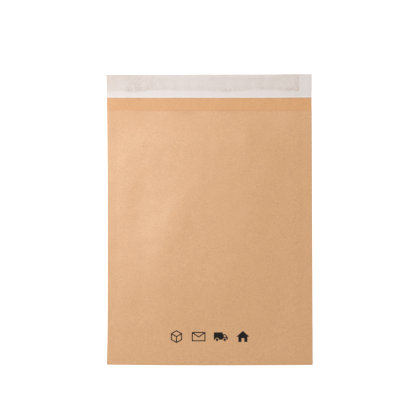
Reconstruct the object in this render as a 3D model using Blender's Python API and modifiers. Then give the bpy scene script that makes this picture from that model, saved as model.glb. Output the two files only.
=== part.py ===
"""A flat kraft paper mailer with a peel-and-seal flap, lying face up with its flap open.

Metres, +Z up. The flap points along +Y and the bottom fold along -Y. The origin is on the surface that the
mailer lies on, under the middle of its length and width.

The pouch is one sheet: it is cut flat, folded once at the bottom and glued to itself along both sides. The back
panel runs on past the mouth as the flap, whose inner face carries the closure adhesive and its release liner.
"""

import math

import bmesh
import bpy

# Kraft sheet
WIDTH = 0.306  # between the cut side edges, at the bottom fold
BODY_LENGTH = 0.380  # bottom fold to mouth
FLAP_LENGTH = 0.0535  # mouth to the flap's cut end
PLY = 0.0002  # one thickness of the paper

# Side seams
SEAM_WIDTH = 0.014  # glued strip inside each cut side edge
SEAM_GLUE_LINE = 0.00012  # between the two plies of a seam
SEAM_GLUE_SETBACK = 0.001  # bare paper left all round the glue of a seam
SEAM_GLUE_BITE = PLY / 3  # how far the glue soaks into each ply

# Closure on the flap
ADHESIVE_WIDTH = 0.018  # along the flap
ADHESIVE_THICKNESS = 0.00015
LINER_SETBACK = 0.0002  # kraft left showing past the liner at the flap's end
LINER_PAST_ADHESIVE_AT_END = 0.0053
LINER_PAST_ADHESIVE_AT_MOUTH = 0.0104
LINER_PAST_ADHESIVE_AT_SIDES = 0.0187
LINER_THICKNESS = 0.0001
SEAT_GAP = 0.0002  # between pieces that lie on each other

# Shape in which the empty pouch lies
BULGE_HEIGHT = 0.0068  # clear height inside, where the front panel stands highest
MOUTH_HEIGHT = 0.0058  # clear height inside at the mouth
FOLD_GAP = 0.0006  # clear height inside, at the bottom fold
BULGE_REACH = 0.075  # length over which the pouch opens up from the bottom fold
BULGE_POWER = 3  # how flat the bulge is across the pouch
RIM_LIFT = 0.0011  # height of the seams and the bottom fold above the surface
SEAM_EASE = 0.048  # width over which the back panel rises to a seam
FOLD_EASE = 0.045  # length over which the back panel rises to the bottom fold
FLAP_CURL = 0.0012
WAIST_PULL_IN = 0.0008  # what each side edge gives up to the bulge at the waist
WAIST_FROM_FOLD = 0.282

# Fineness of the facets
COLUMNS_TO_SEAM = 8
ROWS_ALONG_BODY = 15
ROWS_ALONG_FLAP = 6
ROWS_ALONG_ADHESIVE = 3
ROWS_ALONG_LINER = 4
ROWS_ALONG_SEAM_GLUE = 5
FOLD_FACETS = 6

# Places that follow from the sizes
TOTAL_LENGTH = BODY_LENGTH + FLAP_LENGTH
HALF_WIDTH = WIDTH / 2
SEAM_INNER = HALF_WIDTH - SEAM_WIDTH
BOTTOM_Y = -TOTAL_LENGTH / 2
MOUTH_Y = BOTTOM_Y + BODY_LENGTH
FLAP_END_Y = BOTTOM_Y + TOTAL_LENGTH
FOLD_RADIUS = PLY + (SEAM_GLUE_LINE + FOLD_GAP) / 2
FOLD_CENTRE_Y = BOTTOM_Y + FOLD_RADIUS
LINER_TO_Y = FLAP_END_Y - LINER_SETBACK
ADHESIVE_TO_Y = LINER_TO_Y - LINER_PAST_ADHESIVE_AT_END
ADHESIVE_FROM_Y = ADHESIVE_TO_Y - ADHESIVE_WIDTH
ADHESIVE_HALF_SPAN = HALF_WIDTH - LINER_PAST_ADHESIVE_AT_SIDES
LINER_FROM_Y = ADHESIVE_FROM_Y - LINER_PAST_ADHESIVE_AT_MOUTH
FLAP_TOP = PLY + SEAT_GAP
ADHESIVE_TOP = FLAP_TOP + ADHESIVE_THICKNESS + SEAT_GAP

# Facet edges sharper than this stay crisp in shading
SHARP_ANGLE = math.radians(40)


def eased(share):
    """A share from 0 to 1 with level ends."""
    share = min(max(share, 0.0), 1.0)
    return share * share * (3 - 2 * share)


def waist(y):
    """How far the sides are pulled in at y: fully at the waist, not at all at the bottom fold."""
    return WAIST_PULL_IN * (1 - ((y - BOTTOM_Y) / WAIST_FROM_FOLD - 1) ** 2)


def x_of(across, y):
    """World x of a point that lies at this distance across the flat sheet."""
    return across * (1 - waist(y) / HALF_WIDTH)


def underside(across, y):
    """Height of the back panel's lower face: level in the middle, rising to the seams, the fold and the flap end."""
    toward_seam = eased((abs(across) - SEAM_INNER) / SEAM_EASE + 1)
    toward_fold = eased((FOLD_CENTRE_Y - y) / FOLD_EASE + 1)
    past_mouth = max(y - MOUTH_Y, 0.0) / FLAP_LENGTH
    return RIM_LIFT * (1 - (1 - toward_seam) * (1 - toward_fold)) + FLAP_CURL * past_mouth**2


def gap_between_plies(across, y):
    """Distance between the inner faces of the two panels: only the glue in a seam, the bulge between the seams."""
    between_seams = 1 - min(abs(across) / SEAM_INNER, 1.0) ** BULGE_POWER
    from_fold = min(max((y - FOLD_CENTRE_Y) / BULGE_REACH, 0.0), 1.0)
    opened = from_fold * (2 - from_fold)
    toward_mouth = eased((y - FOLD_CENTRE_Y) / (MOUTH_Y - FOLD_CENTRE_Y))
    height = BULGE_HEIGHT + (MOUTH_HEIGHT - BULGE_HEIGHT) * toward_mouth
    return SEAM_GLUE_LINE + between_seams * (FOLD_GAP + (height - FOLD_GAP) * opened)


def outer_face(across, row):
    """Point of the folded sheet's outer face. A row is (y, angle): angle 0 is the front, pi the back."""
    y, angle = row
    radius = PLY + gap_between_plies(across, y) / 2
    middle = underside(across, y) + radius
    return x_of(across, y), y - radius * math.sin(angle), middle + radius * math.cos(angle)


def on_flap(lift):
    """A rule that places a sheet on the flap, with its lower face this far above the flap's lower face."""
    return lambda across, y: (x_of(across, y), y, underside(across, y) + lift)


def in_seam(across, y):
    """Point halfway between the two plies."""
    middle = underside(across, y) + PLY + gap_between_plies(across, y) / 2
    return x_of(across, y), y, middle


def stations(start, end, steps, power=1.0):
    """Values from start to end, closer together near start when power is over 1."""
    return [start + (end - start) * (i / steps) ** power for i in range(steps + 1)]


def columns(half_span):
    """Distances across the sheet out to half_span on both sides, closest together near the seams."""
    inner = [SEAM_INNER * math.sin(math.pi / 2 * i / COLUMNS_TO_SEAM) for i in range(COLUMNS_TO_SEAM + 1)]
    right = [value for value in inner if value < half_span] + [half_span]
    return [-value for value in reversed(right[1:])] + right


def folded_rows():
    """Rows of the pouch from the flap's end down the back, round the bottom fold and up the front to the mouth."""
    body = stations(FOLD_CENTRE_Y, MOUTH_Y, ROWS_ALONG_BODY, power=1.4)
    flap = stations(MOUTH_Y, FLAP_END_Y, ROWS_ALONG_FLAP)
    back = [(y, math.pi) for y in reversed(body + flap[1:])]
    fold = [(FOLD_CENTRE_Y, angle) for angle in stations(math.pi, 0.0, FOLD_FACETS)]
    front = [(y, 0.0) for y in body]
    return back + fold[1:-1] + front


def new_material(name, colour, roughness):
    """A Principled material in a linear colour."""
    material = bpy.data.materials.new(name)
    material.use_nodes = True
    shader = material.node_tree.nodes["Principled BSDF"]
    shader.inputs["Base Color"].default_value = (*colour, 1.0)
    shader.inputs["Roughness"].default_value = roughness
    shader.inputs["Metallic"].default_value = 0.0
    material.diffuse_color = (*colour, 1.0)
    return material


def sheet(name, across, rows, place, thickness, offset, collection):
    """A sheet of even thickness: a flat grid whose points place(across, row) bends to shape, then Solidify."""
    shape = bmesh.new()
    bmesh.ops.create_grid(shape, x_segments=len(across) - 1, y_segments=len(rows) - 1, size=1.0)
    for vertex in shape.verts:
        column = round((vertex.co.x + 1) / 2 * (len(across) - 1))
        row = round((vertex.co.y + 1) / 2 * (len(rows) - 1))
        vertex.co = place(across[column], rows[row])
    mesh = bpy.data.meshes.new(name)
    shape.to_mesh(mesh)
    shape.free()
    mesh.shade_smooth()
    mesh.set_sharp_from_angle(angle=SHARP_ANGLE)
    item = bpy.data.objects.new(name, mesh)
    collection.objects.link(item)
    solidify = item.modifiers.new("thickness", "SOLIDIFY")
    solidify.thickness = thickness
    solidify.offset = offset
    solidify.use_even_offset = True
    return item


def seam_glue(name, side, collection):
    """The glue of one side seam, reaching a little way into both plies."""
    span = [side * (SEAM_INNER + SEAM_GLUE_SETBACK), side * (HALF_WIDTH - SEAM_GLUE_SETBACK)]
    rows = stations(FOLD_CENTRE_Y + SEAM_GLUE_SETBACK, MOUTH_Y - SEAM_GLUE_SETBACK, ROWS_ALONG_SEAM_GLUE)
    thickness = SEAM_GLUE_LINE + 2 * SEAM_GLUE_BITE
    strip = sheet(name, sorted(span), rows, in_seam, thickness, 0.0, collection)
    strip.hide_render = True
    strip.display_type = "WIRE"
    return strip


def kraft_pouch(parts, cutters):
    """The folded sheet with its two side seams glued."""
    pouch = sheet("kraft_pouch", columns(HALF_WIDTH), folded_rows(), outer_face, PLY, -1.0, parts)
    for name, side in (("left_seam_glue", -1), ("right_seam_glue", 1)):
        join = pouch.modifiers.new(name, "BOOLEAN")
        join.operation = "UNION"
        join.solver = "EXACT"
        join.object = seam_glue(name, side, cutters)
    pouch.data.materials.append(new_material("kraft_paper", (0.730, 0.445, 0.254), 0.8))


def adhesive_band(parts):
    """The pressure-sensitive strip that seals the flap."""
    rows = stations(ADHESIVE_FROM_Y, ADHESIVE_TO_Y, ROWS_ALONG_ADHESIVE)
    place = on_flap(FLAP_TOP)
    band = sheet("adhesive_band", columns(ADHESIVE_HALF_SPAN), rows, place, ADHESIVE_THICKNESS, 1.0, parts)
    band.data.materials.append(new_material("hot_melt_adhesive", (0.60, 0.50, 0.38), 0.35))


def release_liner(parts):
    """The peel-off strip over the adhesive, cut to the width of the pouch."""
    rows = stations(LINER_FROM_Y, LINER_TO_Y, ROWS_ALONG_LINER)
    place = on_flap(ADHESIVE_TOP)
    liner = sheet("release_liner", columns(HALF_WIDTH), rows, place, LINER_THICKNESS, 1.0, parts)
    liner.data.materials.append(new_material("glassine_liner", (0.76, 0.69, 0.65), 0.5))


def main():
    for item in list(bpy.data.objects):
        bpy.data.objects.remove(item, do_unlink=True)
    parts = bpy.data.collections.new("kraft_mailer")
    cutters = bpy.data.collections.new("seam_glue_shapes")
    for collection in (parts, cutters):
        bpy.context.scene.collection.children.link(collection)
    kraft_pouch(parts, cutters)
    adhesive_band(parts)
    release_liner(parts)


main()
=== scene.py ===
"""The looks of a flat kraft paper mailer with a peel-and-seal flap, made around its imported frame.

Metres, +Z up. The mailer lies on its back panel at z = 0, with its bottom fold towards -Y and its open flap
towards +Y, and the camera looks straight down on it. Sizes written with MM are in millimetres.
"""

import logging
import math
from dataclasses import dataclass
from enum import Enum

import bmesh
import bpy
import numpy as np
from bpy.types import ID, Material, Mesh, Node, NodeSocket, NodeTree, Object
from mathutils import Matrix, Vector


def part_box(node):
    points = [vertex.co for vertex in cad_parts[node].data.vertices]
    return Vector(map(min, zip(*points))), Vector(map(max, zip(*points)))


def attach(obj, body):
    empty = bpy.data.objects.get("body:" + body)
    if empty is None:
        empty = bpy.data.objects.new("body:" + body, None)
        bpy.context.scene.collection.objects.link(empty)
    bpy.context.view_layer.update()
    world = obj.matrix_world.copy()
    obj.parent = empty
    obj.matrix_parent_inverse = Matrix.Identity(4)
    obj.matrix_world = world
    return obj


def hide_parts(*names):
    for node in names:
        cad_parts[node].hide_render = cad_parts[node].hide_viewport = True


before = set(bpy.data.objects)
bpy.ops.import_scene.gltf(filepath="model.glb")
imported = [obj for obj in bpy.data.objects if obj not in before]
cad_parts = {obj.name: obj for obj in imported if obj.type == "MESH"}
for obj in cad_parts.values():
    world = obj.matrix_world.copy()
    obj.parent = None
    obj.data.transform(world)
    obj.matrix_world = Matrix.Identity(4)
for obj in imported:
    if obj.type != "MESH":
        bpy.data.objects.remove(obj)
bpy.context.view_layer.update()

MM = 0.001
BODY = "root"
SAME_POINT = 0.001 * MM

log = logging.getLogger("kraft_mailer")


def linear(hex_colour: str) -> tuple[float, float, float, float]:
    """Turns an sRGB hex colour into Blender's linear one.

    Args:
        hex_colour: six hex digits after a hash sign.

    Returns:
        Red, green, blue and alpha.
    """
    shares = [int(hex_colour[i:i + 2], 16) / 255 for i in (1, 3, 5)]
    channels = [c / 12.92 if c <= 0.04045 else ((c + 0.055) / 1.055) ** 2.4 for c in shares]
    return (*channels, 1.0)


def rising(value: np.ndarray, start: float, end: float) -> np.ndarray:
    """Goes smoothly from 0 at the start to 1 at the end, which may be smaller, and stays so past each."""
    share = np.clip((value - start) / (end - start), 0.0, 1.0)
    return share * share * (3 - 2 * share)


def mound(value: np.ndarray, middle: float, reach: float) -> np.ndarray:
    """Gives 1 at the middle and less on both sides, about a third at one reach from it."""
    return np.exp(-(((value - middle) / reach) ** 2))


def add(tree: NodeTree, kind: str, inputs: dict | None = None, **settings) -> Node:
    """Adds one node with its settings, input values and links.

    Args:
        tree: the node tree that takes the node.
        kind: the node's type name.
        inputs: by input name or number, a value, an output socket, or a node whose first output is meant.
        **settings: properties of the node itself.

    Returns:
        The new node.
    """
    node = tree.nodes.new(kind)
    for name, value in settings.items():
        setattr(node, name, value)
    for key, value in (inputs or {}).items():
        source = value.outputs[0] if isinstance(value, Node) else value
        if isinstance(source, NodeSocket):
            tree.links.new(source, node.inputs[key])
        else:
            node.inputs[key].default_value = source
    return node


# The folded sheet's form


@dataclass(frozen=True)
class SoftWave:
    """A long low mound in the paper, or a hollow if its height is negative. In millimetres and degrees."""

    x: float
    y: float
    height: float
    length: float
    width: float
    turn: float

    def lift(self, x: np.ndarray, y: np.ndarray) -> np.ndarray:
        """Height of the mound at each point.

        Args:
            x: across the mailer, in metres.
            y: along the mailer, in metres.

        Returns:
            Heights in metres.
        """
        turn = math.radians(self.turn)
        from_x, from_y = x / MM - self.x, y / MM - self.y
        along = from_x * math.cos(turn) + from_y * math.sin(turn)
        aside = from_y * math.cos(turn) - from_x * math.sin(turn)
        spread = (along / self.length) ** 2 + (aside / self.width) ** 2
        return self.height * MM * np.exp(-spread / 2)


@dataclass(frozen=True)
class Cockle:
    """The fine unevenness of paper: many small waves of chance direction, from a fixed seed."""

    height: float
    shortest: float
    longest: float
    seed: int
    count: int = 28

    def lift(self, x: np.ndarray, y: np.ndarray) -> np.ndarray:
        """Height of the unevenness at each point.

        Args:
            x: across the mailer, in metres.
            y: along the mailer, in metres.

        Returns:
            Heights in metres, above and below zero.
        """
        chance = np.random.default_rng(self.seed)
        total = np.zeros_like(x)
        for _ in range(self.count):
            size = self.shortest * (self.longest / self.shortest) ** chance.random()
            heading = chance.random() * math.tau
            phase = chance.random() * math.tau
            step = (x * math.cos(heading) + y * math.sin(heading)) * math.tau / size
            total += np.sin(step + phase) * size / self.longest
        return total * self.height / math.sqrt(self.count)


@dataclass(frozen=True)
class Ramp:
    """A value that goes from 0 at its start to its height at its end, both in millimetres."""

    start: float
    end: float
    height: float = 1.0

    def at(self, value: np.ndarray) -> np.ndarray:
        """The value at each distance, which is in metres."""
        return self.height * rising(value, self.start * MM, self.end * MM)


@dataclass(frozen=True)
class Hump:
    """A value that has its height at its middle and falls off over its reach, both in millimetres."""

    middle: float
    reach: float
    height: float = 1.0

    def at(self, value: np.ndarray) -> np.ndarray:
        """The value at each distance, which is in metres."""
        return self.height * mound(value, self.middle * MM, self.reach * MM)


@dataclass(frozen=True)
class CutStep(Ramp):
    """A place where the flap's cut end steps up across. Its height and its reach are in millimetres."""

    reach: float = 30.0

    def shift(self, x: np.ndarray, from_cut: np.ndarray, zone: float) -> np.ndarray:
        """How far each point moves towards the cut end, over a zone of its distance from that end."""
        return self.at(x) * MM * rising(from_cut, self.reach * MM, self.reach * MM - zone)


@dataclass(frozen=True)
class MailerForm:
    """The rule that places every point of the folded sheet. Its overall sizes come from the frame."""

    half_width: float
    bottom_y: float
    flap_end_y: float
    body_length: float = 380 * MM
    ply: float = 0.2 * MM
    seam_width: float = 14 * MM
    seam_glue_line: float = 0.12 * MM
    bulge_height: float = 6.8 * MM
    bulge_near_mouth: float = 5.8 * MM
    mouth_gap: float = 0.8 * MM
    mouth_ease: float = 52 * MM
    fold_gap: float = 0.6 * MM
    fold_reach: float = 200 * MM
    rim_lift: float = 1.1 * MM
    seam_droop: float = 0.6 * MM
    seam_ease: float = 48 * MM
    fold_ease: float = 45 * MM
    flap_curl: float = 1.2 * MM
    left_waist: float = 0.5 * MM
    left_bow_at_flap: float = 1.9 * MM
    left_bow_at_fold: float = 1.4 * MM
    right_waist: float = 0.13 * MM
    right_lean: float = 0.87 * MM
    flap_cut: float = -0.15 * MM
    cut_zone: float = 30 * MM
    fold_zone: float = 60 * MM
    fold_corners: tuple[float, float] = (0.4 * MM, 0.12 * MM)
    left_corner: tuple[float, float] = (62 * MM, 90 * MM)  # where its lift begins, and its reach
    right_corner: tuple[float, float] = (120 * MM, 33 * MM)
    fold_sag: float = 0.3 * MM
    mouth_cut: float = -0.9 * MM
    mouth_rise: float = 1.3 * MM
    mouth_rise_x: float = -124 * MM
    mouth_rise_reach: float = 13 * MM
    front_setback: float = 0.3 * MM
    side_power: int = 8  # keeps a change close to the two sides

    FRONT_WAVES = (
        SoftWave(-60, -12, 1.4, 44, 18, 62),
        SoftWave(-107, 22, -0.6, 24, 12, 75),
        SoftWave(-80, -96, 0.6, 24, 14, 80),
        SoftWave(-60, -96, 1.8, 50, 36, 85),
        SoftWave(-100, 105, 0.5, 26, 16, 50),
        SoftWave(-106, -134, -1.0, 20, 14, 60),
        SoftWave(56, 130, 0.9, 30, 12, 92),
        SoftWave(117, 142, 0.7, 14, 10, 90),
        SoftWave(90, 82, 0.9, 22, 14, 90),
        SoftWave(62, 8, 0.6, 26, 14, 70),
        SoftWave(20, -104, 0.9, 30, 20, 80),
        SoftWave(108, -128, -0.6, 22, 12, 80),
    )
    MOUTH_WAVES = (
        SoftWave(-53, 163, 0.9, 15, 6, 0),
        SoftWave(20, 163, 0.9, 17, 6, 0),
        SoftWave(128, 163, 1.0, 14, 7, 0),
    )
    EDGE_WAVES = (
        SoftWave(-153, 142, 0.7, 33, 10, 90),
        SoftWave(153, 0, 0.25, 200, 8, 90),
        SoftWave(-153, -217, -1.0, 60, 45, 0),
        SoftWave(-156, -200, -0.9, 32, 9, 90),
        SoftWave(153, 184, -1.0, 24, 32, 90),
    )
    CUT_STEPS = (
        CutStep(-74, -14, 0.7, 30),
        CutStep(68, 143, 0.35, 60),
        CutStep(-125, -153, 0.35, 30),
    )
    FRONT_COCKLE = Cockle(0.14 * MM, 13 * MM, 40 * MM, seed=4)
    SHEET_COCKLE = Cockle(0.10 * MM, 18 * MM, 50 * MM, seed=9)

    @property
    def mouth_y(self) -> float:
        """Where the front panel ends and the flap begins."""
        return self.bottom_y + self.body_length

    @property
    def seam_inner(self) -> float:
        """Distance from the middle to the inner edge of a side seam."""
        return self.half_width - self.seam_width

    @property
    def fold_centre_y(self) -> float:
        """Where the round of the bottom fold has its centre."""
        return self.bottom_y + self.ply + (self.seam_glue_line + self.fold_gap) / 2

    def outline(self, across: np.ndarray, y: np.ndarray, front: np.ndarray | float = 0.0) -> tuple:
        """Places points of the flat sheet in plan, with its edges as they really lie.

        Args:
            across: distance from the sheet's middle line, before the edges are drawn in.
            y: distance along the mailer.
            front: 1 for points of the front panel, 0 for the back panel and the flap.

        Returns:
            World x and y.
        """
        mid_y, half_length = (self.bottom_y + self.flap_end_y) / 2, (self.flap_end_y - self.bottom_y) / 2
        along = (y - mid_y) / half_length
        bow = np.where(along > 0, self.left_bow_at_flap * along**3, self.left_bow_at_fold * along**6)
        left = self.left_waist - self.half_width - bow
        right = self.half_width - self.right_waist - self.right_lean * along
        share = (across / self.half_width + 1) / 2
        near_side = (np.abs(across) / self.half_width) ** self.side_power
        x = left + (right - left) * share - self.front_setback * front * np.sign(across) * near_side
        at_fold = -self.fold_sag
        sides = zip((-x, x), (self.left_corner, self.right_corner), self.fold_corners)
        for outward, (start, reach), height in sides:
            at_fold = at_fold + height * np.clip((outward - start) / reach, 0, None) ** 2
        at_fold = at_fold * rising(y, self.bottom_y + self.fold_zone, self.bottom_y)
        from_cut = self.flap_end_y - y
        at_cut = self.flap_cut * rising(from_cut, self.cut_zone, 0.0)
        at_cut = at_cut + sum(step.shift(x, from_cut, self.cut_zone) for step in self.CUT_STEPS)
        near_mouth = rising(y, self.mouth_y - self.mouth_ease, self.mouth_y) * front
        rise = self.mouth_rise * mound(x, self.mouth_rise_x, self.mouth_rise_reach)
        return x, y + at_fold + at_cut + near_mouth * (rise + self.mouth_cut)

    def underside(self, across: np.ndarray, y: np.ndarray) -> np.ndarray:
        """Height of the back panel's lower face above the surface that the mailer lies on.

        Args:
            across: distance from the sheet's middle line.
            y: distance along the mailer.

        Returns:
            Heights in metres, never below zero.
        """
        toward_seam = rising(np.abs(across), self.seam_inner - self.seam_ease, self.seam_inner)
        toward_fold = rising(y, self.fold_centre_y + self.fold_ease, self.fold_centre_y)
        rim = 1 - (1 - toward_seam) * (1 - toward_fold)
        past_mouth = np.clip((y - self.mouth_y) / (self.flap_end_y - self.mouth_y), 0, None)
        edges = sum(wave.lift(across, y) for wave in self.EDGE_WAVES)
        loose = np.maximum(rim, past_mouth) * (edges + self.SHEET_COCKLE.lift(across, y))
        past_seam = np.clip((np.abs(across) - self.seam_inner) / self.seam_width, 0, None)
        droop = self.seam_droop * past_seam * rising(y, self.mouth_y, self.mouth_y - self.mouth_ease)
        raised = self.rim_lift * rim - droop + self.flap_curl * past_mouth**2
        return np.maximum(raised + loose, 0.0)

    def gap(self, across: np.ndarray, y: np.ndarray) -> np.ndarray:
        """Distance between the inner faces of the two panels.

        Args:
            across: distance from the sheet's middle line.
            y: distance along the mailer.

        Returns:
            Distances in metres, at least the seams' glue line.
        """
        side = np.minimum(np.abs(across) / self.seam_inner, 1.0)
        from_fold = np.clip((y - self.fold_centre_y) / self.fold_reach, 0, 1)
        opened = from_fold * (2 - from_fold)
        toward_mouth = rising(y, self.fold_centre_y, self.mouth_y)
        height = self.bulge_height + (self.bulge_near_mouth - self.bulge_height) * toward_mouth
        closing = rising(y, self.mouth_y - self.mouth_ease, self.mouth_y)
        height = height + (self.mouth_gap - height) * closing
        waves = sum(wave.lift(across, y) for wave in self.FRONT_WAVES) + self.FRONT_COCKLE.lift(across, y)
        lips = sum(wave.lift(across, y) for wave in self.MOUTH_WAVES)
        loose = (waves * opened * (1 - closing) + lips) * (1 - side**self.side_power)
        panels = (1 - side**2) * (self.fold_gap + (height - self.fold_gap) * opened) + loose
        return self.seam_glue_line + np.maximum(panels, 0.0)

    def in_seam(self, across: np.ndarray, y: np.ndarray) -> np.ndarray:
        """Points halfway between the two plies, where the glue of a seam lies, as rows of x, y and z."""
        x, plan_y = self.outline(across, y)
        return np.stack([x, plan_y, self.underside(across, y) + self.ply + self.gap(across, y) / 2], axis=-1)


# Finishes


class Draft:
    """A material in the making: its node tree, its shader and the place of each point on the object."""

    def __init__(self, name: str) -> None:
        """Starts the material."""
        self.made = bpy.data.materials.new(name)
        self.made.use_nodes = True
        self.tree = self.made.node_tree
        self.shader = self.tree.nodes["Principled BSDF"]
        self.place = add(self.tree, "ShaderNodeTexCoord").outputs["Object"]

    def finish(
        self,
        colour: NodeSocket,
        height: Node,
        relief: tuple[float, float],
        roughness: float,
        gloss: float = 0.5,
    ) -> Material:
        """Links the colour and the bump to the shader, and sets what is the same all over.

        Args:
            colour: the output that gives the colour.
            height: the noise that the bump follows.
            relief: the bump's strength, and its depth in metres.
            roughness: the shader's roughness.
            gloss: the shader's specular level, where 0.5 is a plain plastic's.

        Returns:
            The finished material.
        """
        strength, depth = relief
        bump = add(self.tree, "ShaderNodeBump", {"Height": height, "Strength": strength, "Distance": depth})
        self.tree.links.new(colour, self.shader.inputs["Base Color"])
        self.tree.links.new(bump.outputs[0], self.shader.inputs["Normal"])
        self.shader.inputs["Roughness"].default_value = roughness
        self.shader.inputs["Specular IOR Level"].default_value = gloss
        return self.made


class Face(Enum):
    """The two faces of the kraft sheet: its colour, how rough it is and how strong its grain shows."""

    OUTER = ("kraft_machine_glazed_face", "#d4a06e", 0.5, 1.0)
    INNER = ("kraft_rough_wire_face", "#d4995f", 0.52, 0.9)


@dataclass(frozen=True)
class Unevenness:
    """One scale of light and dark in the paper, with its size in metres and its turn in radians."""

    size: float
    detail: float
    strength: float
    turn: float


@dataclass(frozen=True)
class Fibres:
    """Single fibres of one direction and tint: noise above the threshold shows, up to the strength."""

    turn: float
    threshold: float
    tint: str
    strength: float


@dataclass(frozen=True)
class KraftPaper:
    """Unbleached sulphate kraft, about 140 g per square metre, pressed smooth on one side as it dried.

    That gives a warm brown with soft clouds where the pulp lies thicker, a fine grain, and a few single
    fibres that are darker or paler than the rest. The starch that it is sized with gives its low sheen.
    """

    face: Face
    pulp_rough: float = 0.55
    fibre: tuple[float, float] = (5.0 * MM, 1.1 * MM)  # drawn wider than the real 0.04 mm so that they show
    fibre_edge: float = 0.08
    tooth: float = 1.4 * MM
    tooth_rough: float = 0.6
    relief: tuple[float, float] = (0.35, 0.06 * MM)
    size_gloss: float = 1.0  # twice a plain plastic's, for the starch

    PULP = (
        Unevenness(22 * MM, 2.0, 0.06, 0.0),  # clouds
        Unevenness(5.5 * MM, 3.0, 0.10, 1.1),  # flocs
        Unevenness(1.6 * MM, 2.0, 0.54, 0.4),  # grain: really about 0.3 mm, drawn coarser to show
    )
    FIBRES = (
        Fibres(0.5, 0.69, "#a8713f", 0.28),
        Fibres(2.1, 0.70, "#a8713f", 0.25),
        Fibres(1.3, 0.70, "#f3d2ae", 0.3),
    )

    def material(self) -> Material:
        """Builds the material."""
        name, colour, roughness, contrast = self.face.value
        draft = Draft(name)
        tree, place = draft.tree, draft.place
        tone = 1.0  # the plain colour, which each scale of pulp then makes lighter or darker
        for part in self.PULP:
            laid = add(tree, "ShaderNodeMapping", {"Vector": place, "Rotation": (0, 0, part.turn)})
            pulp = {"Scale": 1 / part.size, "Detail": part.detail, "Roughness": self.pulp_rough}
            noise = add(tree, "ShaderNodeTexNoise", {"Vector": laid, **pulp})
            about_zero = add(tree, "ShaderNodeMath", {0: noise, 1: 0.5}, operation="SUBTRACT")
            step = {0: about_zero, 1: part.strength * contrast, 2: tone}
            tone = add(tree, "ShaderNodeMath", step, operation="MULTIPLY_ADD")
        scaled = {0: linear(colour)[:3], "Scale": tone}
        paper = add(tree, "ShaderNodeVectorMath", scaled, operation="SCALE").outputs[0]
        length, width = self.fibre
        for part in self.FIBRES:
            lie = {"Rotation": (0, 0, part.turn), "Scale": (1 / length, 1 / width, 1 / width)}
            laid = add(tree, "ShaderNodeMapping", {"Vector": place, **lie})
            noise = add(tree, "ShaderNodeTexNoise", {"Vector": laid, "Scale": 1.0, "Detail": 1.0})
            edge = {"From Min": part.threshold, "From Max": part.threshold + self.fibre_edge}
            shows = add(tree, "ShaderNodeMapRange", {"Value": noise, **edge, "To Max": part.strength})
            mixed = {0: shows, 6: paper, 7: linear(part.tint)}
            paper = add(tree, "ShaderNodeMix", mixed, data_type="RGBA").outputs[2]
        grit = {"Vector": place, "Scale": 1 / self.tooth, "Detail": 4.0, "Roughness": self.tooth_rough}
        tooth = add(tree, "ShaderNodeTexNoise", grit)
        return draft.finish(paper, tooth, self.relief, roughness, self.size_gloss)


class Contact(Enum):
    """How the liner lies and where its highlight is painted, as shares from 0 to 1 on its points, with each
    one's tint.
    """

    FREE = ("liner_free", "#e5dddb", 0.9)  # on air, so it is whitest
    WARM = ("liner_warm", "#d5c5ba", 0.9)  # the kraft shines through most
    WETTED = ("liner_wetted", "#dfd4cf", 0.9)  # pressed into the adhesive
    SQUEEZED = ("liner_squeezed", "#cdbcb3", 0.6)  # where the adhesive is thickest, along its ends
    LIP = ("liner_lip", "#f8f6f6", 0.9)  # painted highlight along the raised edge, whiter than the liner on air


@dataclass(frozen=True)
class GlassineLiner:
    """Supercalendered glassine with a silicone coat: thin, satin and translucent.

    What it lies on shows through: kraft, air or adhesive. It is faintly streaked along the web and mottled
    where the adhesive wets it.
    """

    ground: str = "#e4dad7"
    streak: str = "#ddd3cf"
    streak_size: tuple[float, float] = (50 * MM, 1.6 * MM)
    mottle_size: float = 3.6 * MM
    mottle_range: tuple[float, float] = (0.38, 0.64)
    mottle_most: float = 1.5
    cockle_size: float = 6 * MM
    relief: tuple[float, float] = (0.4, 0.08 * MM)
    roughness: float = 0.5

    def material(self) -> Material:
        """Builds the material."""
        draft = Draft("glassine_silicone_coated")
        tree, place = draft.tree, draft.place
        length, width = self.streak_size
        web = add(tree, "ShaderNodeMapping", {"Vector": place, "Scale": (1 / length, 1 / width, 1.0)})
        streaks = add(tree, "ShaderNodeTexNoise", {"Vector": web, "Scale": 1.0, "Detail": 3.0})
        mixed = {0: streaks, 6: linear(self.ground), 7: linear(self.streak)}
        colour = add(tree, "ShaderNodeMix", mixed, data_type="RGBA").outputs[2]
        spots = {"Vector": place, "Scale": 1 / self.mottle_size, "Detail": 4.0}
        mottle = add(tree, "ShaderNodeTexNoise", spots)
        low, high = self.mottle_range
        spots = {"Value": mottle, "From Min": low, "From Max": high, "To Max": self.mottle_most}
        patches = add(tree, "ShaderNodeMapRange", spots)
        # the tint of each contact, and the painted highlight along the raised edge
        for contact in Contact:
            name, tint, most = contact.value
            share = add(tree, "ShaderNodeAttribute", attribute_name=name).outputs["Fac"]
            part = add(tree, "ShaderNodeMath", {0: share, 1: most}, operation="MULTIPLY")
            if contact is Contact.SQUEEZED:
                part = add(tree, "ShaderNodeMath", {0: part, 1: patches}, operation="MULTIPLY")
            mixed = {0: part, 6: colour, 7: linear(tint)}
            colour = add(tree, "ShaderNodeMix", mixed, data_type="RGBA").outputs[2]
        ripples = {"Vector": place, "Scale": 1 / self.cockle_size, "Detail": 3.0}
        return draft.finish(colour, add(tree, "ShaderNodeTexNoise", ripples), self.relief, self.roughness)


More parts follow.
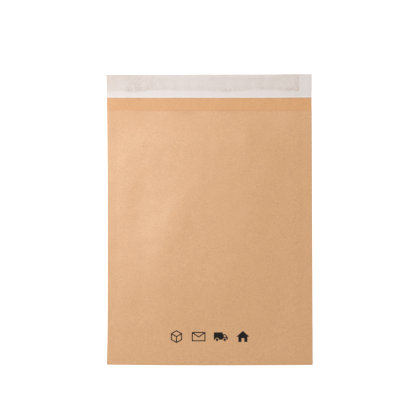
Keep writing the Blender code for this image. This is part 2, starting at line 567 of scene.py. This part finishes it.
@dataclass(frozen=True)
class Coating:
    """A thin layer laid on the paper: one colour, a little uneven in depth where it went on unevenly."""

    name: str
    colour: str
    thin_colour: str
    roughness: float
    patch: float
    gloss: float = 0.5
    patch_range: tuple[float, float] = (0.35, 0.7)
    relief: tuple[float, float] = (0.2, 0.02 * MM)

    def material(self) -> Material:
        """Builds the material."""
        draft = Draft(self.name)
        tree, (low, high) = draft.tree, self.patch_range
        patches = {"Vector": draft.place, "Scale": 1 / self.patch, "Detail": 3.0}
        noise = add(tree, "ShaderNodeTexNoise", patches)
        thin = add(tree, "ShaderNodeMapRange", {"Value": noise, "From Min": low, "From Max": high})
        mixed = {0: thin, 6: linear(self.colour), 7: linear(self.thin_colour)}
        colour = add(tree, "ShaderNodeMix", mixed, data_type="RGBA").outputs[2]
        return draft.finish(colour, noise, self.relief, self.roughness, self.gloss)


# Rubber-based pressure-sensitive hot melt: pale amber, tacky and glossy, laid on molten
HOT_MELT = Coating("hot_melt_pressure_sensitive", "#cdbb9a", "#d8c9ad", 0.3, 6 * MM)
# Dextrin seam glue, dried to a thin clear brown film
SEAM_GLUE = Coating("dextrin_seam_glue", "#c79c6c", "#d3ab7e", 0.45, 4 * MM)
# Water-based flexographic black: it sinks into the kraft, so it is matt, and brownish where it is thin
FLEXO_INK = Coating("flexographic_black_ink", "#151414", "#211e1e", 0.8, 1.6 * MM, gloss=0.15)


# Building helpers

Grid = tuple[Mesh, np.ndarray, np.ndarray]


def new_object(name: str, data: ID) -> Object:
    """Makes an object of a mesh, curve, lamp or camera and puts it in the scene."""
    item = bpy.data.objects.new(name, data)
    bpy.context.scene.collection.objects.link(item)
    return item


def flat_grid(name: str, across: np.ndarray, rows: np.ndarray) -> Grid:
    """Makes a flat grid of faces, with one column for each value across and one row for each entry.

    Args:
        name: the mesh's name.
        across: the columns' distances across the sheet.
        rows: one entry for each row.

    Returns:
        The mesh, each point's distance across, and each point's row entry.
    """
    shape = bmesh.new()
    bmesh.ops.create_grid(shape, x_segments=len(across) - 1, y_segments=len(rows) - 1, size=1.0)
    mesh = bpy.data.meshes.new(name)
    shape.to_mesh(mesh)
    shape.free()
    points = np.zeros(len(mesh.vertices) * 3, np.float32)
    mesh.vertices.foreach_get("co", points)
    points = points.reshape(-1, 3)
    column = np.rint((points[:, 0] + 1) / 2 * (len(across) - 1)).astype(int)
    row = np.rint((points[:, 1] + 1) / 2 * (len(rows) - 1)).astype(int)
    return mesh, across[column], rows[row]


def store(mesh: Mesh, name: str, values: np.ndarray) -> None:
    """Stores a number or a vector on each point of a mesh.

    Args:
        mesh: the mesh.
        name: the attribute's name, or "position" for the points themselves.
        values: one number or one row of three for each point.
    """
    values = values.astype(np.float32)
    if name == "position":
        mesh.vertices.foreach_set("co", values.ravel())
        mesh.update()
        return
    kind, field = ("FLOAT", "value") if values.ndim == 1 else ("FLOAT_VECTOR", "vector")
    mesh.attributes.new(name, kind, "POINT").data.foreach_set(field, values.ravel())


def finished(item: Object, sharp_angle: float = 40.0) -> Object:
    """Turns an object's evaluated shape into its own plain mesh and removes its modifiers.

    Args:
        item: the object, at the origin.
        sharp_angle: edges bent more than this many degrees stay crisp.

    Returns:
        The same object with its plain mesh.
    """
    graph = bpy.context.evaluated_depsgraph_get()
    mesh = bpy.data.meshes.new_from_object(item.evaluated_get(graph))
    item.modifiers.clear()
    item.data = mesh
    mesh.name = item.name
    mesh.shade_smooth()
    mesh.set_sharp_from_angle(angle=math.radians(sharp_angle))
    return item


def declare(item: Object, node: str = "") -> Object:
    """Declares a finished piece, which rides on the body, and logs its triangle count.

    Args:
        item: the piece.
        node: the CAD node that it replaces, if any.

    Returns:
        The same piece.
    """
    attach(item, BODY)
    if node:
        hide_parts(node)
    item.data.calc_loop_triangles()
    log.info("%s: %d triangles", item.name, len(item.data.loop_triangles))
    return item


class NodeTool:
    """A Geometry Nodes tree with named inputs, which turns an object's mesh into its finished one."""

    NAME = "tool"
    INPUTS: dict[str, str] = {}

    def __init__(self) -> None:
        """Builds the tree and its inputs."""
        self.tree = bpy.data.node_groups.new(self.NAME, "GeometryNodeTree")
        face = self.tree.interface
        for name, kind in {"Geometry": "Geometry", **self.INPUTS}.items():
            face.new_socket(name, in_out="INPUT", socket_type=f"NodeSocket{kind}")
        face.new_socket("Geometry", in_out="OUTPUT", socket_type="NodeSocketGeometry")
        self._wire()

    def _wire(self) -> None:
        """Adds the tree's nodes."""
        raise NotImplementedError

    def _closed(self, *shells: Node) -> Node:
        """Joins the shells, merges the points that they share and realizes the result."""
        joined = add(self.tree, "GeometryNodeJoinGeometry")
        for shell in shells:
            self.tree.links.new(shell.outputs[0], joined.inputs[0])
        welded = {"Geometry": joined, "Distance": SAME_POINT}
        closed = add(self.tree, "GeometryNodeMergeByDistance", welded)
        return add(self.tree, "GeometryNodeRealizeInstances", {"Geometry": closed})

    def use(self, item: Object, **values) -> Object:
        """Runs the tree on an object.

        Args:
            item: the object, at the origin.
            **values: the tree's inputs by name, with _ for a space. Those left out are 0.

        Returns:
            The object with its finished mesh and no modifier.
        """
        modifier = item.modifiers.new(self.NAME, "NODES")
        modifier.node_group = self.tree
        chosen = {name.replace("_", " "): value for name, value in values.items()}
        for socket in self.tree.interface.items_tree:
            if socket.in_out == "INPUT" and socket.name in chosen:
                modifier[socket.identifier] = chosen[socket.name]
        return finished(item)


class FoldedPly(NodeTool):
    """Folds a flat sheet round the bottom fold, gives it the ply's thickness and dresses its two faces."""

    NAME = "folded_ply"
    INPUTS = {"Ply": "Float", "Outer Face": "Material", "Inner Face": "Material"}
    PLAN, UNDERSIDE, GAP, TURN, INSIDE = "plan", "underside", "gap", "turn", "inside_face"

    def _wire(self) -> None:
        """Adds the tree's nodes."""
        tree = self.tree
        given = add(tree, "NodeGroupInput").outputs
        underside, gap, turn = (
            add(tree, "GeometryNodeInputNamedAttribute", {"Name": name}, data_type="FLOAT")
            for name in (self.UNDERSIDE, self.GAP, self.TURN)
        )
        plan = add(tree, "GeometryNodeInputNamedAttribute", {"Name": self.PLAN}, data_type="FLOAT_VECTOR")
        flat = add(tree, "ShaderNodeSeparateXYZ", {0: plan}).outputs
        radius = add(tree, "ShaderNodeMath", {0: gap, 1: 0.5, 2: given["Ply"]}, operation="MULTIPLY_ADD")
        sine = add(tree, "ShaderNodeMath", {0: turn}, operation="SINE")
        cosine = add(tree, "ShaderNodeMath", {0: turn}, operation="COSINE")
        reach = add(tree, "ShaderNodeMath", {0: radius, 1: sine}, operation="MULTIPLY")
        y = add(tree, "ShaderNodeMath", {0: flat[1], 1: reach}, operation="SUBTRACT")
        level = add(tree, "ShaderNodeMath", {0: cosine, 1: 1.0}, operation="ADD")
        z = add(tree, "ShaderNodeMath", {0: level, 1: radius, 2: underside}, operation="MULTIPLY_ADD")
        place = add(tree, "ShaderNodeCombineXYZ", {0: flat[0], 1: y, 2: z})
        outer = add(tree, "GeometryNodeSetPosition", {"Geometry": given["Geometry"], "Position": place})
        turned = add(tree, "GeometryNodeFlipFaces", {"Mesh": outer})
        inward = add(tree, "GeometryNodeInputNormal")
        wall = {"Mesh": turned, "Offset": inward, "Offset Scale": given["Ply"], "Individual": False}
        inner = add(tree, "GeometryNodeExtrudeMesh", wall)
        mark = {"Geometry": inner, "Name": self.INSIDE, "Value": True}
        marked = add(tree, "GeometryNodeStoreNamedAttribute", mark, data_type="BOOLEAN", domain="FACE")
        inside = add(tree, "GeometryNodeInputNamedAttribute", {"Name": self.INSIDE}, data_type="BOOLEAN")
        smooth = {"Geometry": self._closed(marked, outer), "Material": given["Outer Face"]}
        dressed = add(tree, "GeometryNodeSetMaterial", smooth)
        rough = {"Geometry": dressed, "Selection": inside, "Material": given["Inner Face"]}
        add(tree, "NodeGroupOutput", {"Geometry": add(tree, "GeometryNodeSetMaterial", rough)})


class PaperLayer(NodeTool):
    """Lays a flat shape on a paper's upper face and gives it its thickness."""

    NAME = "laid_on_paper"
    INPUTS = {
        "Paper": "Object",
        "Lift": "Float",
        "Thickness": "Float",
        "Ripple Height": "Float",
        "Ripple Size": "Float",
        "Bead Height": "Float",
        "Bead Spacing": "Float",
        "Seed": "Float",
        "Material": "Material",
    }
    RAY_START = 50 * MM
    RISE = "rise"

    def _wire(self) -> None:
        """Adds the tree's nodes."""
        tree = self.tree
        given = add(tree, "NodeGroupInput").outputs
        paper = add(tree, "GeometryNodeObjectInfo", {"Object": given["Paper"]}).outputs["Geometry"]
        plan = add(tree, "ShaderNodeSeparateXYZ", {0: add(tree, "GeometryNodeInputPosition")}).outputs
        above = add(tree, "ShaderNodeCombineXYZ", {0: plan[0], 1: plan[1], 2: self.RAY_START})
        down = {"Ray Direction": (0.0, 0.0, -1.0), "Ray Length": 2 * self.RAY_START}
        ray = add(tree, "GeometryNodeRaycast", {"Target Geometry": paper, "Source Position": above, **down})
        scale = add(tree, "ShaderNodeMath", {0: 1.0, 1: given["Ripple Size"]}, operation="DIVIDE")
        swell = {"Vector": above, "W": given["Seed"], "Scale": scale, "Detail": 2.0}
        noise = add(tree, "ShaderNodeTexNoise", swell, noise_dimensions="4D")
        ripple = add(tree, "ShaderNodeMath", {0: noise, 1: given["Ripple Height"]}, operation="MULTIPLY")
        turns = add(tree, "ShaderNodeMath", {0: plan[0], 1: given["Bead Spacing"]}, operation="DIVIDE")
        phase = add(tree, "ShaderNodeMath", {0: turns, 1: math.tau}, operation="MULTIPLY")
        wave = add(tree, "ShaderNodeMath", {0: phase}, operation="COSINE")
        raised = {0: wave, 1: given["Bead Height"], 2: given["Lift"]}
        bead = add(tree, "ShaderNodeMath", raised, operation="MULTIPLY_ADD")
        rise = add(tree, "GeometryNodeInputNamedAttribute", {"Name": self.RISE}, data_type="FLOAT")
        total = add(tree, "ShaderNodeMath", {0: ripple, 1: bead}, operation="ADD")
        total = add(tree, "ShaderNodeMath", {0: total, 1: rise}, operation="ADD")
        offset = add(tree, "ShaderNodeCombineXYZ", {2: total})
        laid = {"Geometry": given["Geometry"], "Position": ray.outputs["Hit Position"], "Offset": offset}
        base = add(tree, "GeometryNodeSetPosition", laid)
        wall = {"Offset": (0.0, 0.0, 1.0), "Offset Scale": given["Thickness"], "Individual": False}
        upper = add(tree, "GeometryNodeExtrudeMesh", {"Mesh": base, **wall})
        lower = add(tree, "GeometryNodeFlipFaces", {"Mesh": base})
        finish = {"Geometry": self._closed(upper, lower), "Material": given["Material"]}
        add(tree, "NodeGroupOutput", {"Geometry": add(tree, "GeometryNodeSetMaterial", finish)})

    def use(self, item: Object, **values) -> Object:
        """Lays the object's flat mesh on the paper, with no ripple and no beads unless they are given."""
        return super().use(item, **{"Bead_Spacing": 1.0, "Ripple_Size": 1.0, **values})


# The object's sub-assemblies


@dataclass
class KraftPouch:
    """The folded sheet: back panel, flap and front panel in one piece, with the glue in its side seams."""

    form: MailerForm
    edge_step: float = 1.1 * MM
    edge_zone: float = 20 * MM
    middle_step: float = 2.9 * MM
    end_step: float = 1.5 * MM
    end_zone: float = 24 * MM
    back_step: float = 5.5 * MM
    fold_facets: int = 10
    glue_setback: float = 1 * MM
    glue_step: float = 4 * MM
    glue_columns: int = 6
    glue_fill: float = 0.9

    def _steps(self, start: float, end: float, step: float) -> list[float]:
        """Even stations from start to end, about one step apart, without the end."""
        count = max(round((end - start) / step), 1)
        return [start + (end - start) * i / count for i in range(count)]

    def _columns(self) -> np.ndarray:
        """Distances across the sheet, closest together near its cut edges."""
        edge, zone = self.form.half_width, self.edge_zone
        left = self._steps(-edge, -edge + zone, self.edge_step)
        middle = self._steps(-edge + zone, edge - zone, self.middle_step)
        right = self._steps(edge - zone, edge, self.edge_step)
        return np.array([*left, *middle, *right, edge])

    def _rows(self) -> np.ndarray:
        """Rows of y and angle, from the flap's end down the back, round the fold and up the front."""
        form = self.form
        fold, mouth, end = form.fold_centre_y, form.mouth_y, form.flap_end_y
        zone = self.end_zone
        back = self._steps(fold, mouth - zone, self.back_step)
        back += self._steps(mouth - zone, end, 2 * self.end_step) + [end]
        front = self._steps(fold, fold + zone, self.end_step)
        front += self._steps(fold + zone, mouth - zone, self.middle_step)
        front += self._steps(mouth - zone, mouth, self.end_step) + [mouth]
        turn = [(fold, math.pi * (1 - i / self.fold_facets)) for i in range(1, self.fold_facets)]
        return np.array([(y, math.pi) for y in reversed(back)] + turn + [(y, 0.0) for y in front])

    def build(self) -> Object:
        """Builds the sheet, with the smooth face outside and the rough face inside."""
        mesh, across, row = flat_grid("kraft_sheet", self._columns(), self._rows())
        y, turn = row[:, 0], row[:, 1]
        plan_x, plan_y = self.form.outline(across, y, np.cos(turn / 2) ** 2)
        store(mesh, FoldedPly.PLAN, np.stack([plan_x, plan_y, np.zeros_like(y)], axis=-1))
        store(mesh, FoldedPly.UNDERSIDE, self.form.underside(across, y))
        store(mesh, FoldedPly.GAP, self.form.gap(across, y))
        store(mesh, FoldedPly.TURN, turn)
        item = new_object("kraft_sheet", mesh)
        outer, inner = (KraftPaper(face).material() for face in (Face.OUTER, Face.INNER))
        FoldedPly().use(item, Ply=self.form.ply, Outer_Face=outer, Inner_Face=inner)
        return declare(item, "kraft_pouch")

    def glue(self) -> Object:
        """Builds the dried glue between the two plies of each side seam."""
        form, setback = self.form, self.glue_setback
        start, end = form.fold_centre_y + setback, form.mouth_y - setback
        rows = np.array(self._steps(start, end, self.glue_step))
        span = np.linspace(form.seam_inner + setback, form.half_width - setback, self.glue_columns)
        shape = bmesh.new()
        for side in (-1, 1):
            part, across, y = flat_grid("seam_glue_half", np.sort(span * side), rows)
            store(part, "position", form.in_seam(across, y))
            shape.from_mesh(part)
            bpy.data.meshes.remove(part)
        mesh = bpy.data.meshes.new("seam_glue")
        shape.to_mesh(mesh)
        shape.free()
        mesh.materials.append(SEAM_GLUE.material())
        item = new_object("seam_glue", mesh)
        wall = item.modifiers.new("glue_line", "SOLIDIFY")
        wall.thickness = self.glue_fill * form.seam_glue_line
        wall.offset = 0.0
        return declare(finished(item))


@dataclass
class SealStrip:
    """The closure on the flap: a band of pressure-sensitive adhesive under a peel-off liner."""

    form: MailerForm
    layer: PaperLayer
    paper: Object
    bead_spacing: float = 18.1 * MM
    bead_height: float = 0.05 * MM
    band_bead_height: float = 0.02 * MM
    band_lift: float = 0.06 * MM
    band_thickness: float = 0.18 * MM
    first_bead: float = -98 * MM
    beads: int = 13
    flat_beads: tuple[int, ...] = (1, 5, 6, 11)
    step: float = 1.3 * MM
    side_setback: float = 0.06 * MM
    edge_reach: float = 0.4 * MM
    lip: float = 0.5 * MM
    lip_reach: float = 1.6 * MM
    lip_rows: int = 9
    lip_waves: tuple[float, float] = (31 * MM, 17 * MM)
    lip_swing: float = 0.25
    liner_lift: float = 0.34 * MM
    liner_thickness: float = 0.06 * MM
    ripple_height: float = 0.25 * MM
    ripple_size: float = 17 * MM
    ripple_seed: float = 2.0
    band_inset: float = 0.6 * MM
    top_wander: float = 0.3
    patch_slant: float = 0.4

    SAGS = (
        SoftWave(-112, 0, 2.2, 17, 1, 0),
        SoftWave(-79, 0, -1.0, 12, 1, 0),
        SoftWave(27, 0, 2.0, 22, 1, 0),
        SoftWave(76, 0, -1.0, 18, 1, 0),
        SoftWave(122, 0, 1.6, 9, 1, 0),
    )
    UNEVEN = Cockle(0.8 * MM, 9 * MM, 34 * MM, seed=21)

    # Where the liner touches what, from an edge of the adhesive or of the mailer, or from its middle
    PAST_BAND = Ramp(0, 1.5)
    ABOVE_BAND = Ramp(-1.5, 1.5)
    BAND_START = Ramp(-2, 2)
    BAND_THIN = Ramp(20, 0, 0.6)
    BAND_WEAK = Hump(-22, 50, 0.5)
    WET_EDGE = Ramp(-1.3, 1.3)
    EDGE_GAPS = Ramp(0.25, -0.25, 0.5)
    LOW_EDGE = Hump(1.8, 2.0)
    LOW_EDGE_MOST = 0.7
    TOP_EDGE = Hump(0.5, 0.9, 0.45)
    EDGE_END = Ramp(-1.2, 0.2)
    THICKNESS = 0.3
    THICK_LEFT = Hump(-105, 35, 0.3)
    THICK_RIGHT = Hump(0, 6, 0.45)
    DRY_ACROSS = Hump(0, 2.6)
    DRY_ALONG = Hump(9.5, 4.0)
    DRY_MOST = 0.8
    LEFT_END = Ramp(36, 0, 0.85)
    LEFT_RISE = Ramp(-14, 14)
    LEFT_TOP = Ramp(125, 0, 0.8)
    RIGHT_TOP = Ramp(88, 113, 0.45)
    RIGHT_END = Ramp(80, 130, 0.15)
    BELOW_BAND = Ramp(-0.4, -2.6)
    # where a highlight is painted: full within 0.6 mm of the liner's raised edge, gone by 1.6 mm
    HIGHLIGHT_AT_LIP = Ramp(1.6, 0.6)

    @property
    def _liner_edge(self) -> float:
        """Where the liner's inner edge lies: the lip stands a little past the CAD strip."""
        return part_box("release_liner")[0].y - self.edge_reach

    def _flat(self, node: str) -> Grid:
        """A flat grid over a CAD strip, in plan, with its edges as the sheet's really lie.

        Args:
            node: the CAD strip's node.

        Returns:
            The flat mesh, each point's distance across and each point's place along the mailer.
        """
        low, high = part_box(node)
        start, half = low.y, high.x
        if node == "release_liner":
            start, half = self._liner_edge, self.form.half_width - self.side_setback
        across = np.linspace(-half, half, round(2 * half / self.step) + 1)
        near = np.linspace(start, start + 2 * self.lip_reach, self.lip_rows)
        far = np.linspace(near[-1], high.y, round((high.y - near[-1]) / self.step) + 1)
        mesh, column, row = flat_grid(node, across, np.concatenate([near, far[1:]]))
        x, y = self.form.outline(column, row)
        store(mesh, "position", np.stack([x, y, np.zeros_like(x)], axis=-1))
        return mesh, column, row

    def _contact(self, x: np.ndarray, y: np.ndarray) -> dict[Contact, np.ndarray]:
        """Works out how the liner lies at each of its points, and where a highlight is painted along its
        raised edge.

        Args:
            x: distance across the mailer.
            y: place along the mailer.

        Returns:
            For each kind of contact and for the painted highlight, a share from 0 to 1 at each point.
        """
        low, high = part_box("adhesive_band")
        from_side, still = x + self.form.half_width, np.zeros_like(x)
        wander = self.UNEVEN.lift(x, still)
        sag = sum(wave.lift(x, still) for wave in self.SAGS)
        below = y - low.y + wander + sag - self.band_inset
        above = high.y - y + self.top_wander * wander
        inward = np.minimum(np.minimum(below, above), high.x - x)
        past_band, above_band = self.PAST_BAND.at(x - high.x), self.ABOVE_BAND.at(y - high.y)

        laid = self.BAND_START.at(x - low.x) * (1 - self.BAND_THIN.at(x - low.x))
        laid = laid * (1 - self.BAND_WEAK.at(x))
        wetted = self.WET_EDGE.at(inward) * laid
        patches = self.UNEVEN.lift(x + self.patch_slant * y, still + 1.0)
        low_edge = self.LOW_EDGE.at(below) * (self.LOW_EDGE_MOST - self.EDGE_GAPS.at(patches))
        edges = np.maximum(low_edge, self.TOP_EDGE.at(above)) * self.EDGE_END.at(inward) * laid
        thick = self.THICKNESS + self.THICK_LEFT.at(x) + self.THICK_RIGHT.at(x - high.x)
        squeezed = wetted * thick + edges
        for bead in range(self.beads):
            if bead not in self.flat_beads:
                dry = self.DRY_ACROSS.at(x - self.first_bead - bead * self.bead_spacing)
                dry = dry * self.DRY_ALONG.at(y - low.y)
                wetted, squeezed = wetted * (1 - self.DRY_MOST * dry), squeezed * (1 - dry)

        warm = (
            self.LEFT_END.at(from_side) * self.LEFT_RISE.at(y - low.y),
            self.LEFT_TOP.at(from_side) * above_band,
            self.RIGHT_TOP.at(x) * above_band * (1 - past_band),
            self.RIGHT_END.at(x),
        )
        return {
            Contact.FREE: np.maximum(self.BELOW_BAND.at(below), past_band),
            Contact.WARM: np.maximum.reduce(warm),
            Contact.WETTED: wetted,
            Contact.SQUEEZED: np.clip(squeezed, 0, 1),
            # painted highlight along the liner's raised edge
            Contact.LIP: self.HIGHLIGHT_AT_LIP.at(y - self._liner_edge),
        }

    def adhesive(self) -> Object:
        """Builds the adhesive band, laid on in beads that have flowed together."""
        item = new_object("adhesive_beads", self._flat("adhesive_band")[0])
        self.layer.use(
            item,
            Paper=self.paper,
            Lift=self.band_lift,
            Thickness=self.band_thickness,
            Bead_Height=self.band_bead_height,
            Bead_Spacing=self.bead_spacing,
            Material=HOT_MELT.material(),
        )
        return declare(item, "adhesive_band")

    def liner(self) -> Object:
        """Builds the liner, which lies over the adhesive and curls up a little along its inner edge."""
        mesh, x, y = self._flat("release_liner")
        long, short = self.lip_waves
        wave = 1 - self.lip_swing * (1 - np.sin(x / long) * np.sin(x / short + 1))
        rise = self.lip * wave * rising(y - self._liner_edge, self.lip_reach, 0.0)
        store(mesh, PaperLayer.RISE, rise)
        for contact, share in self._contact(x, y).items():
            store(mesh, contact.value[0], share)
        item = new_object("liner_sheet", mesh)
        self.layer.use(
            item,
            Paper=self.paper,
            Lift=self.liner_lift,
            Thickness=self.liner_thickness,
            Ripple_Height=self.ripple_height,
            Ripple_Size=self.ripple_size,
            Bead_Height=self.bead_height,
            Bead_Spacing=self.bead_spacing,
            Seed=self.ripple_seed,
            Material=GlassineLiner().material(),
        )
        return declare(item, "release_liner")


Loop = list[tuple[float, float]]


def arc(x: float, y: float, radius: float, start: float, end: float, steps: int = 12) -> Loop:
    """Points round the centre x, y from the start to the end, in degrees, with that many equal steps."""
    angles = [math.radians(start + (end - start) * i / steps) for i in range(steps + 1)]
    return [(x + radius * math.cos(a), y + radius * math.sin(a)) for a in angles]


class Mark(Enum):
    """The plain pictograms of the print row, from left to right."""

    PARCEL = "parcel"
    ENVELOPE = "envelope"
    VAN = "van"
    HOUSE = "house"


@dataclass
class PrintedRow:
    """A row of plain pictograms near the bottom fold, in one black. Their outlines are in millimetres."""

    layer: PaperLayer
    paper: Object
    row_y: float = -174 * MM
    spacing: float = 33 * MM
    line: float = 1.6
    cell: float = 1.5 * MM
    reach: float = 12 * MM
    ink_lift: float = 0.035 * MM
    ink_thickness: float = 0.02 * MM

    def _parcel(self) -> list[Loop]:
        """A closed carton seen from a corner, in outline."""
        side, half = 8.8, self.line / 2
        rim = side + half / math.cos(math.radians(30))
        turns = [math.radians(angle) for angle in range(30, 390, 60)]
        corner = [(side * math.cos(turn), side * math.sin(turn)) for turn in turns]
        keep = 1 - half / (side * math.sin(math.radians(60)) / 2)
        faces = []
        for first in (0, 2, 4):
            face = [(0, 0), corner[first], corner[first + 1], corner[(first + 2) % 6]]
            mid_x, mid_y = (sum(values) / len(face) for values in zip(*face))
            faces.append([(mid_x + (x - mid_x) * keep, mid_y + (y - mid_y) * keep) for x, y in face])
        return [[(rim * math.cos(turn), rim * math.sin(turn)) for turn in turns]] + faces

    def _envelope(self) -> list[Loop]:
        """A letter seen from behind, with its pointed flap."""
        wide, high, line, tip = 10.2, 7.0, self.line, -0.6
        slope = (high - line / 2 - tip) / (wide - line / 2)
        half = line / 2 * math.hypot(1, slope)
        body = arc(wide - 1, high - 1, 1, 0, 90, 4) + arc(1 - wide, high - 1, 1, 90, 180, 4)
        body += arc(1 - wide, 1 - high, 1, 180, 270, 4) + arc(wide - 1, 1 - high, 1, 270, 360, 4)
        reach = (high - line - tip - half) / slope
        flap = [(reach, high - line), (-reach, high - line), (0, tip + half)]
        side, shoulder = wide - line, tip - half + slope * (wide - line)
        pocket = [(-side, shoulder), (-side, line - high), (side, line - high), (side, shoulder)]
        return [body, flap, pocket + [(0, tip - half)]]

    def _van(self) -> list[Loop]:
        """A delivery van from the side, in solid black with a cab window."""
        sill, arch, wheel = -4.6, 2.9, 2.0
        body = [(-10.4, sill), (-10.4, 6.4), (3, 6.4), (3, 3.6), (7, 3.6), (10.4, -0.6), (10.4, sill)]
        for centre in (5.8, -5.6):
            body += arc(centre, sill, arch, 0, 180, 10)
        window = [(4.5, 2.2), (6.4, 2.2), (8.4, -0.4), (4.5, -0.4)]
        return [body, window] + [arc(centre, sill, wheel, 0, 360, 16)[:-1] for centre in (5.8, -5.6)]

    def _house(self) -> list[Loop]:
        """A house from the front, in solid black with an open door."""
        eave, wall, ground, door = -0.2, 6.8, -8.0, 2.0
        right = [(0, 8.6), (9.8, eave), (wall, eave), (wall, ground), (door, ground), (door, -2.4)]
        return [right + [(-x, y) for x, y in reversed(right[1:])]]

    def _flat(self, mark: Mark, centre_x: float) -> Mesh:
        """A mark's flat shape in place in plan, cut into small cells so that it can follow the paper.

        Args:
            mark: which pictogram.
            centre_x: world x of its middle.

        Returns:
            The flat mesh.
        """
        draw = dict(zip(Mark, (self._parcel, self._envelope, self._van, self._house)))
        curve = bpy.data.curves.new(mark.value, "CURVE")
        curve.dimensions = "2D"
        curve.fill_mode = "BOTH"
        for loop in draw[mark]():
            spline = curve.splines.new("POLY")
            spline.points.add(len(loop) - 1)
            for point, (x, y) in zip(spline.points, loop):
                point.co = (centre_x + x * MM, self.row_y + y * MM, 0.0, 1.0)
            spline.use_cyclic_u = True
        outline = new_object(mark.value, curve)
        graph = bpy.context.evaluated_depsgraph_get()
        mesh = bpy.data.meshes.new_from_object(outline.evaluated_get(graph))
        bpy.data.objects.remove(outline)
        shape = bmesh.new()
        shape.from_mesh(mesh)
        bmesh.ops.remove_doubles(shape, verts=shape.verts, dist=10 * SAME_POINT)
        for i in range(round(2 * self.reach / self.cell) + 1):
            cut = i * self.cell - self.reach
            across = ((centre_x + cut, 0, 0), (1, 0, 0))
            along = ((0, self.row_y + cut, 0), (0, 1, 0))
            for point, normal in (across, along):
                parts = [*shape.verts, *shape.edges, *shape.faces]
                bmesh.ops.bisect_plane(shape, geom=parts, dist=SAME_POINT, plane_co=point, plane_no=normal)
        for face in shape.faces:
            if face.normal.z < 0:
                face.normal_flip()
        shape.to_mesh(mesh)
        shape.free()
        return mesh

    def build(self) -> list[Object]:
        """Prints every mark of the row and returns them."""
        marks = []
        ink = {"Lift": self.ink_lift, "Thickness": self.ink_thickness, "Material": FLEXO_INK.material()}
        for place, mark in enumerate(Mark):
            centre_x = (place - (len(Mark) - 1) / 2) * self.spacing
            item = new_object(f"print_{mark.value}", self._flat(mark, centre_x))
            marks.append(declare(self.layer.use(item, Paper=self.paper, **ink)))
        return marks


@dataclass
class Studio:
    """A pale paper sweep, one soft lamp at the upper left, even fill all round, and the camera above."""

    camera_place: tuple[float, float, float] = (0.45 * MM, 14.8 * MM, 1.802)
    lens: float = 103.4
    sensor: float = 36.0
    clip_end: float = 20.0
    lamp_place: tuple[float, float, float] = (-0.70, 0.42, 1.38)
    lamp_size: float = 0.6
    lamp_power: float = 16.0
    lamp_tint: tuple[float, float, float] = (0.97, 1.0, 1.03)
    fill: float = 0.42
    fill_tint: tuple[float, float, float, float] = (1.02, 1.0, 0.94, 1.0)
    glow: float = 0.62
    floor_size: float = 12.0
    floor_colour: str = "#e7e7e7"

    WHITE = (1.0, 1.0, 1.0, 1.0)

    def _sweep(self) -> None:
        """The floor: paper that the camera sees as the photograph's white, with the mailer's shadow on it."""
        bpy.ops.mesh.primitive_plane_add(size=self.floor_size)
        floor = bpy.context.object
        floor.name = "studio_sweep"
        made = bpy.data.materials.new("matt_white_sweep")
        made.use_nodes = True
        tree = made.node_tree
        tree.nodes.clear()
        paper = add(tree, "ShaderNodeBsdfDiffuse", {"Color": linear(self.floor_colour)})
        glow = add(tree, "ShaderNodeEmission", {"Color": self.WHITE, "Strength": self.glow})
        lit = add(tree, "ShaderNodeAddShader", {0: paper, 1: glow})
        mixed = add(tree, "ShaderNodeMixShader", {0: self._seen(tree), 1: paper, 2: lit})
        add(tree, "ShaderNodeOutputMaterial", {"Surface": mixed})
        floor.data.materials.append(made)

    def _seen(self, tree: NodeTree) -> Node:
        """Gives 1 on what the camera sees, straight on or by reflection, and returns the node."""
        path = add(tree, "ShaderNodeLightPath").outputs
        direct = {0: path["Is Camera Ray"], 1: path["Is Glossy Ray"]}
        either = add(tree, "ShaderNodeMath", direct, operation="MAXIMUM")
        every = {0: either, 1: path["Is Transmission Ray"]}
        return add(tree, "ShaderNodeMath", every, operation="MAXIMUM")

    def _world(self) -> None:
        """Even fill light, which the camera sees as white."""
        world = bpy.data.worlds.new("studio_white")
        bpy.context.scene.world = world
        world.use_nodes = True
        tree = world.node_tree
        tree.nodes.clear()
        fill = add(tree, "ShaderNodeBackground", {"Color": self.fill_tint, "Strength": self.fill})
        white = add(tree, "ShaderNodeBackground", {"Color": self.WHITE, "Strength": 1.0})
        mixed = add(tree, "ShaderNodeMixShader", {0: self._seen(tree), 1: fill, 2: white})
        add(tree, "ShaderNodeOutputWorld", {"Surface": mixed})

    def _lamp(self) -> None:
        """The soft lamp, turned to the mailer's middle."""
        light = bpy.data.lights.new("soft_lamp", "AREA")
        light.shape = "SQUARE"
        light.size = self.lamp_size
        light.energy = self.lamp_power
        light.color = self.lamp_tint
        item = new_object("soft_lamp", light)
        item.location = self.lamp_place
        item.rotation_euler = (-item.location).to_track_quat("-Z", "Y").to_euler()

    def _camera(self) -> None:
        """The camera, straight above and a little towards the flap, as in the photograph."""
        camera = bpy.data.cameras.new("camera")
        camera.lens = self.lens
        camera.sensor_width = self.sensor
        camera.clip_end = self.clip_end
        item = new_object("camera", camera)
        item.location = self.camera_place
        bpy.context.scene.camera = item

    def build(self) -> None:
        """Builds the whole stage."""
        self._sweep()
        self._world()
        self._lamp()
        self._camera()
        bpy.context.scene.view_settings.view_transform = "Standard"


def main() -> None:
    """Builds the mailer's pieces in order, then the stage."""
    logging.basicConfig(level=logging.INFO, format="%(name)s %(message)s")
    low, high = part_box("kraft_pouch")
    form = MailerForm(half_width=high.x, bottom_y=low.y, flap_end_y=high.y)
    layer = PaperLayer()
    pouch = KraftPouch(form)
    paper = pouch.build()
    pouch.glue()
    strip = SealStrip(form, layer, paper)
    strip.adhesive()
    strip.liner()
    PrintedRow(layer, paper).build()
    Studio().build()


if __name__ == "__main__":
    main()
